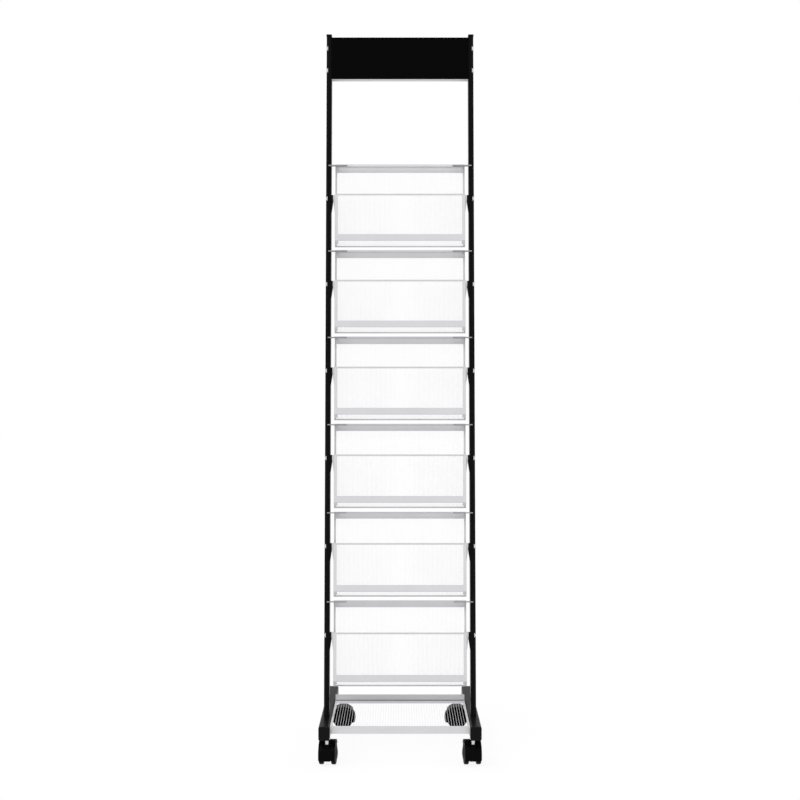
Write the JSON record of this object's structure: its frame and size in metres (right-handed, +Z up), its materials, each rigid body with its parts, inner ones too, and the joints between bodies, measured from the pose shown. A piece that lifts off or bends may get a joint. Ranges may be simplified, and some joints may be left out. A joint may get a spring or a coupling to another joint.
{
  "type": "brochure stand",
  "caption": "Tall leaning brochure stand on swivel castors, with slim mesh trays screwed between two posts, a header panel and a mesh base shelf.",
  "frame": {"origin": "on the floor, midway between the feet and midway along them", "axes": "+X to the viewer's right, +Y to the back, +Z up"},
  "size_m": [0.369, 0.406, 1.6906],
  "materials": {
    "black_tube": "satin black powder coat",
    "black_cap": "black moulded plastic",
    "header_panel": "plain black panel",
    "mesh": "pale silver mesh",
    "grey_sheet": "light grey powder coat",
    "strap": "mid-grey painted strap",
    "castor_hood": "black moulded plastic",
    "castor_wheel": "black nylon",
    "zinc": "bright zinc plate"
  },
  "bodies": {
    "frame": {"base_shelf": "grey_sheet", "base_shelf_mesh": "mesh", "base_shelf_screws": "zinc", "castor_front_left_stem": "zinc", "castor_front_right_stem": "zinc", "castor_rear_left_stem": "zinc", "castor_rear_right_stem": "zinc", "foot_end_caps": "black_cap", "foot_left": "black_tube", "foot_right": "black_tube", "header_channel": "grey_sheet", "header_panel": "header_panel", "header_screws": "zinc", "nuts": "zinc", "post_caps": "black_cap", "post_left": "black_tube", "post_right": "black_tube", "tray_1": "grey_sheet", "tray_1_back_mesh": "mesh", "tray_1_floor_mesh": "mesh", "tray_1_front_mesh": "mesh", "tray_2": "grey_sheet", "tray_2_back_mesh": "mesh", "tray_2_floor_mesh": "mesh", "tray_2_front_mesh": "mesh", "tray_3": "grey_sheet", "tray_3_back_mesh": "mesh", "tray_3_floor_mesh": "mesh", "tray_3_front_mesh": "mesh", "tray_4": "grey_sheet", "tray_4_back_mesh": "mesh", "tray_4_floor_mesh": "mesh", "tray_4_front_mesh": "mesh", "tray_5": "grey_sheet", "tray_5_back_mesh": "mesh", "tray_5_floor_mesh": "mesh", "tray_5_front_mesh": "mesh", "tray_6": "grey_sheet", "tray_6_back_mesh": "mesh", "tray_6_floor_mesh": "mesh", "tray_6_front_mesh": "mesh", "tray_ears": "strap", "tray_screws": "zinc", "tray_spacers": "black_cap"},
    "castor_front_left_swivel_body": {"castor_front_left_hood": "castor_hood", "castor_front_left_axle": "zinc"},
    "castor_front_left_wheel_left_body": {"castor_front_left_wheel_left": "castor_wheel"},
    "castor_front_left_wheel_right_body": {"castor_front_left_wheel_right": "castor_wheel"},
    "castor_front_right_swivel_body": {"castor_front_right_hood": "castor_hood", "castor_front_right_axle": "zinc"},
    "castor_front_right_wheel_left_body": {"castor_front_right_wheel_left": "castor_wheel"},
    "castor_front_right_wheel_right_body": {"castor_front_right_wheel_right": "castor_wheel"},
    "castor_rear_left_swivel_body": {"castor_rear_left_hood": "castor_hood", "castor_rear_left_axle": "zinc"},
    "castor_rear_left_wheel_left_body": {"castor_rear_left_wheel_left": "castor_wheel"},
    "castor_rear_left_wheel_right_body": {"castor_rear_left_wheel_right": "castor_wheel"},
    "castor_rear_right_swivel_body": {"castor_rear_right_hood": "castor_hood", "castor_rear_right_axle": "zinc"},
    "castor_rear_right_wheel_left_body": {"castor_rear_right_wheel_left": "castor_wheel"},
    "castor_rear_right_wheel_right_body": {"castor_rear_right_wheel_right": "castor_wheel"}
  },
  "joints": [
    {"name": "castor_front_left_swivel", "type": "hinge", "parent": "frame", "child": "castor_front_left_swivel_body", "pos_m": [-0.1635, -0.172, 0.04], "axis": [0, 0, 1], "continuous": true},
    {"name": "castor_front_left_wheel_left_roll", "type": "hinge", "parent": "castor_front_left_swivel_body", "child": "castor_front_left_wheel_left_body", "pos_m": [-0.1624, -0.15103, 0.025], "axis": [0.9986, -0.0523, 0], "continuous": true},
    {"name": "castor_front_left_wheel_right_roll", "type": "hinge", "parent": "castor_front_left_swivel_body", "child": "castor_front_left_wheel_right_body", "pos_m": [-0.1624, -0.15103, 0.025], "axis": [0.9986, -0.0523, 0], "continuous": true},
    {"name": "castor_front_right_swivel", "type": "hinge", "parent": "frame", "child": "castor_front_right_swivel_body", "pos_m": [0.1635, -0.172, 0.04], "axis": [0, 0, 1], "continuous": true},
    {"name": "castor_front_right_wheel_left_roll", "type": "hinge", "parent": "castor_front_right_swivel_body", "child": "castor_front_right_wheel_left_body", "pos_m": [0.1624, -0.15103, 0.025], "axis": [0.9986, 0.0523, 0], "continuous": true},
    {"name": "castor_front_right_wheel_right_roll", "type": "hinge", "parent": "castor_front_right_swivel_body", "child": "castor_front_right_wheel_right_body", "pos_m": [0.1624, -0.15103, 0.025], "axis": [0.9986, 0.0523, 0], "continuous": true},
    {"name": "castor_rear_left_swivel", "type": "hinge", "parent": "frame", "child": "castor_rear_left_swivel_body", "pos_m": [-0.1635, 0.172, 0.04], "axis": [0, 0, 1], "continuous": true},
    {"name": "castor_rear_left_wheel_left_roll", "type": "hinge", "parent": "castor_rear_left_swivel_body", "child": "castor_rear_left_wheel_left_body", "pos_m": [-0.1425, 0.172, 0.025], "axis": [0, -1, 0], "continuous": true},
    {"name": "castor_rear_left_wheel_right_roll", "type": "hinge", "parent": "castor_rear_left_swivel_body", "child": "castor_rear_left_wheel_right_body", "pos_m": [-0.1425, 0.172, 0.025], "axis": [0, -1, 0], "continuous": true},
    {"name": "castor_rear_right_swivel", "type": "hinge", "parent": "frame", "child": "castor_rear_right_swivel_body", "pos_m": [0.1635, 0.172, 0.04], "axis": [0, 0, 1], "continuous": true},
    {"name": "castor_rear_right_wheel_left_roll", "type": "hinge", "parent": "castor_rear_right_swivel_body", "child": "castor_rear_right_wheel_left_body", "pos_m": [0.1425, 0.172, 0.025], "axis": [0, 1, 0], "continuous": true},
    {"name": "castor_rear_right_wheel_right_roll", "type": "hinge", "parent": "castor_rear_right_swivel_body", "child": "castor_rear_right_wheel_right_body", "pos_m": [0.1425, 0.172, 0.025], "axis": [0, 1, 0], "continuous": true}
  ]
}
